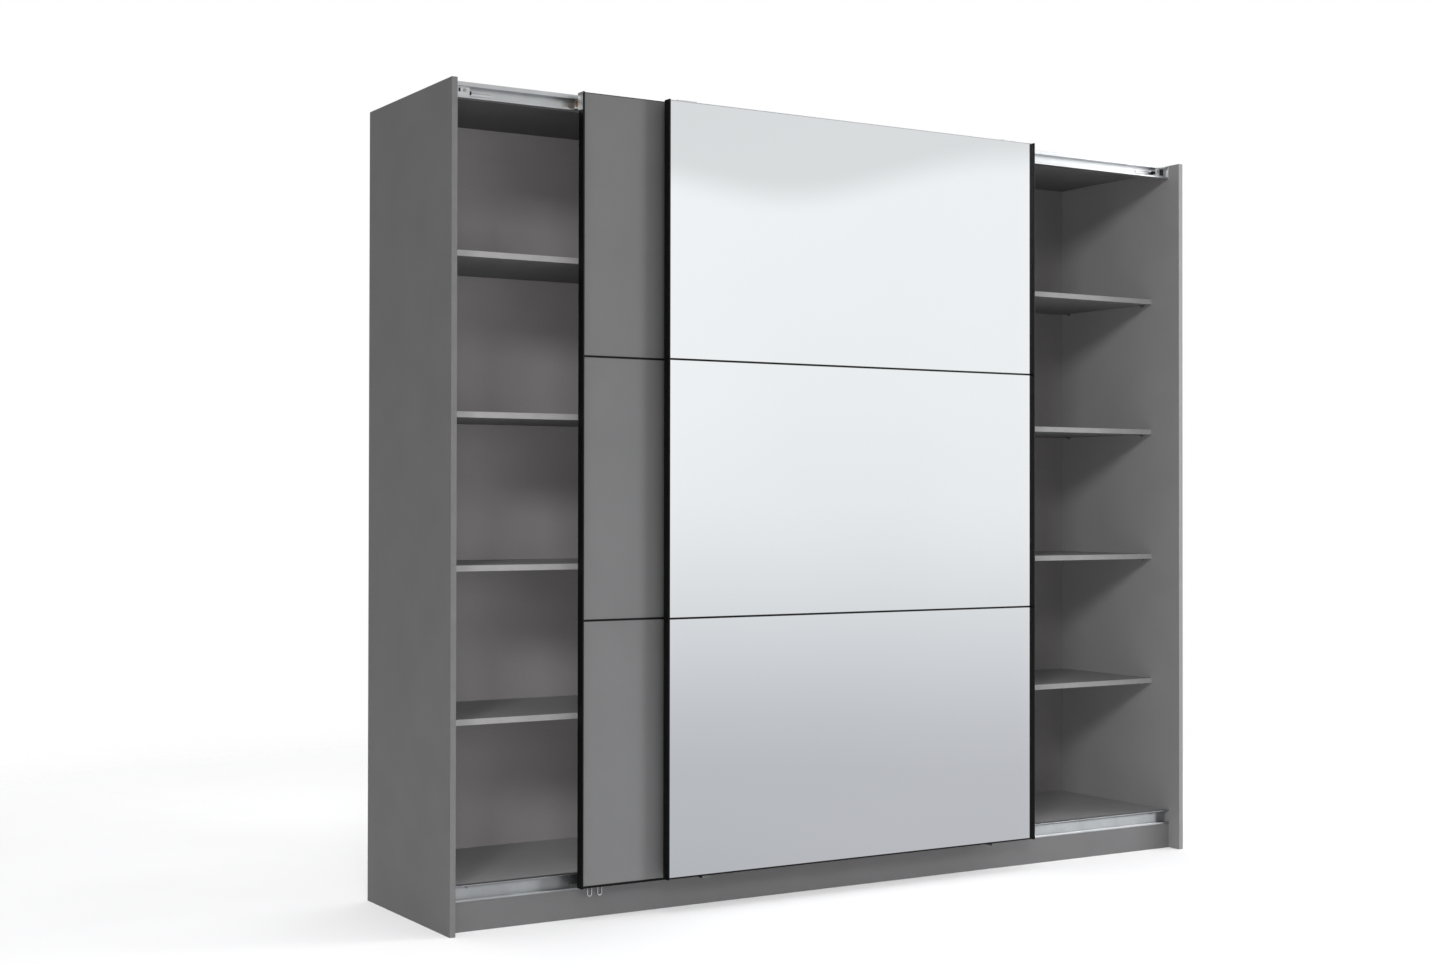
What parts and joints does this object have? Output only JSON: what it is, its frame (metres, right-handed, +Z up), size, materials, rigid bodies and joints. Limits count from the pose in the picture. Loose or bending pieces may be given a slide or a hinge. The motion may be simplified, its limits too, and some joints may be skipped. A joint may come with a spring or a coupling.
{
  "type": "sliding door wardrobe",
  "caption": "Wide grey wardrobe with shelves, a plain rear sliding door and a mirrored front sliding door on rollers.",
  "frame": {"origin": "on the floor, in the middle of the overall width and depth", "axes": "+X along the width towards the front door's side, +Y from the doors to the back, +Z up"},
  "size_m": [2.5, 0.6, 2.1763],
  "materials": {
    "graphite_board": "grey melamine-faced board, matt",
    "back_sheet": "grey lacquered hardboard",
    "door_panel": "grey melamine-faced board, matt",
    "mirror_glass": "silvered float glass",
    "rail_aluminium": "extruded, natural anodised",
    "black_profile": "extruded, black anodised",
    "zinc_steel": "zinc plated",
    "chromed_steel": "polished chrome",
    "dark_plastic": "moulded nylon",
    "buffer_rubber": "moulded, matt",
    "beech": "turned beech",
    "brass_screw": "yellow passivated"
  },
  "bodies": {
    "carcass": {"left_side_panel": "graphite_board", "right_side_panel": "graphite_board", "top_panel": "graphite_board", "bottom_panel": "graphite_board", "plinth": "graphite_board", "left_partition": "graphite_board", "right_partition": "graphite_board", "left_back_panel": "back_sheet", "centre_back_panel": "back_sheet", "right_back_panel": "back_sheet", "base_ribs": "graphite_board", "levelling_feet": "dark_plastic", "left_shelf_1": "graphite_board", "left_shelf_2": "graphite_board", "left_shelf_3": "graphite_board", "left_shelf_4": "graphite_board", "right_shelf_1": "graphite_board", "right_shelf_2": "graphite_board", "right_shelf_3": "graphite_board", "right_shelf_4": "graphite_board", "hat_shelf": "graphite_board", "hanging_rail": "chromed_steel", "rail_rosettes": "chromed_steel", "shelf_pins": "zinc_steel", "top_rail": "rail_aluminium", "bottom_rail": "rail_aluminium", "rail_screws": "zinc_steel", "end_stops": "zinc_steel", "stop_buffers": "buffer_rubber", "plinth_hooks": "zinc_steel", "cam_fittings": "zinc_steel", "dowels": "beech"},
    "front_door": {"front_door_boards": "graphite_board", "mirror_top": "mirror_glass", "mirror_middle": "mirror_glass", "mirror_bottom": "mirror_glass", "front_left_handle": "black_profile", "front_right_handle": "black_profile", "front_door_dividers": "black_profile", "front_door_end_strips": "black_profile", "front_left_hanger": "zinc_steel", "front_right_hanger": "zinc_steel", "front_door_guides": "dark_plastic", "front_door_screws": "zinc_steel"},
    "rear_door": {"rear_panel_top": "door_panel", "rear_panel_middle": "door_panel", "rear_panel_bottom": "door_panel", "rear_left_handle": "black_profile", "rear_right_handle": "black_profile", "rear_door_dividers": "black_profile", "rear_door_end_strips": "black_profile", "rear_left_hanger": "zinc_steel", "rear_right_hanger": "zinc_steel", "rear_door_adjusters": "brass_screw", "rear_door_guides": "dark_plastic", "rear_door_screws": "zinc_steel"},
    "front_left_wheel": {"front_left_roller": "dark_plastic"},
    "front_right_wheel": {"front_right_roller": "dark_plastic"},
    "rear_left_wheel": {"rear_left_roller": "dark_plastic"},
    "rear_right_wheel": {"rear_right_roller": "dark_plastic"}
  },
  "joints": [
    {"name": "front_door_slide", "type": "slide", "parent": "carcass", "child": "front_door", "axis": [1, 0, 0], "range_m": [-0.605, 0.64]},
    {"name": "rear_door_slide", "type": "slide", "parent": "carcass", "child": "rear_door", "axis": [1, 0, 0], "range_m": [-0.346, 0.859]},
    {"name": "front_left_wheel_turn", "type": "hinge", "parent": "front_door", "child": "front_left_wheel", "pos_m": [-0.575, -0.201, 2.1643], "axis": [0, 1, 0], "continuous": true},
    {"name": "front_right_wheel_turn", "type": "hinge", "parent": "front_door", "child": "front_right_wheel", "pos_m": [0.54, -0.201, 2.1643], "axis": [0, 1, 0], "continuous": true},
    {"name": "rear_left_wheel_turn", "type": "hinge", "parent": "rear_door", "child": "rear_left_wheel", "pos_m": [-0.814, -0.201, 2.1343], "axis": [0, 1, 0], "continuous": true},
    {"name": "rear_right_wheel_turn", "type": "hinge", "parent": "rear_door", "child": "rear_right_wheel", "pos_m": [0.301, -0.201, 2.1343], "axis": [0, 1, 0], "continuous": true}
  ],
  "couplings": [
    {"joint": "front_left_wheel_turn", "follows": "front_door_slide", "rad_per_m": 100},
    {"joint": "front_right_wheel_turn", "follows": "front_door_slide", "rad_per_m": 100},
    {"joint": "rear_left_wheel_turn", "follows": "rear_door_slide", "rad_per_m": 100},
    {"joint": "rear_right_wheel_turn", "follows": "rear_door_slide", "rad_per_m": 100}
  ]
}
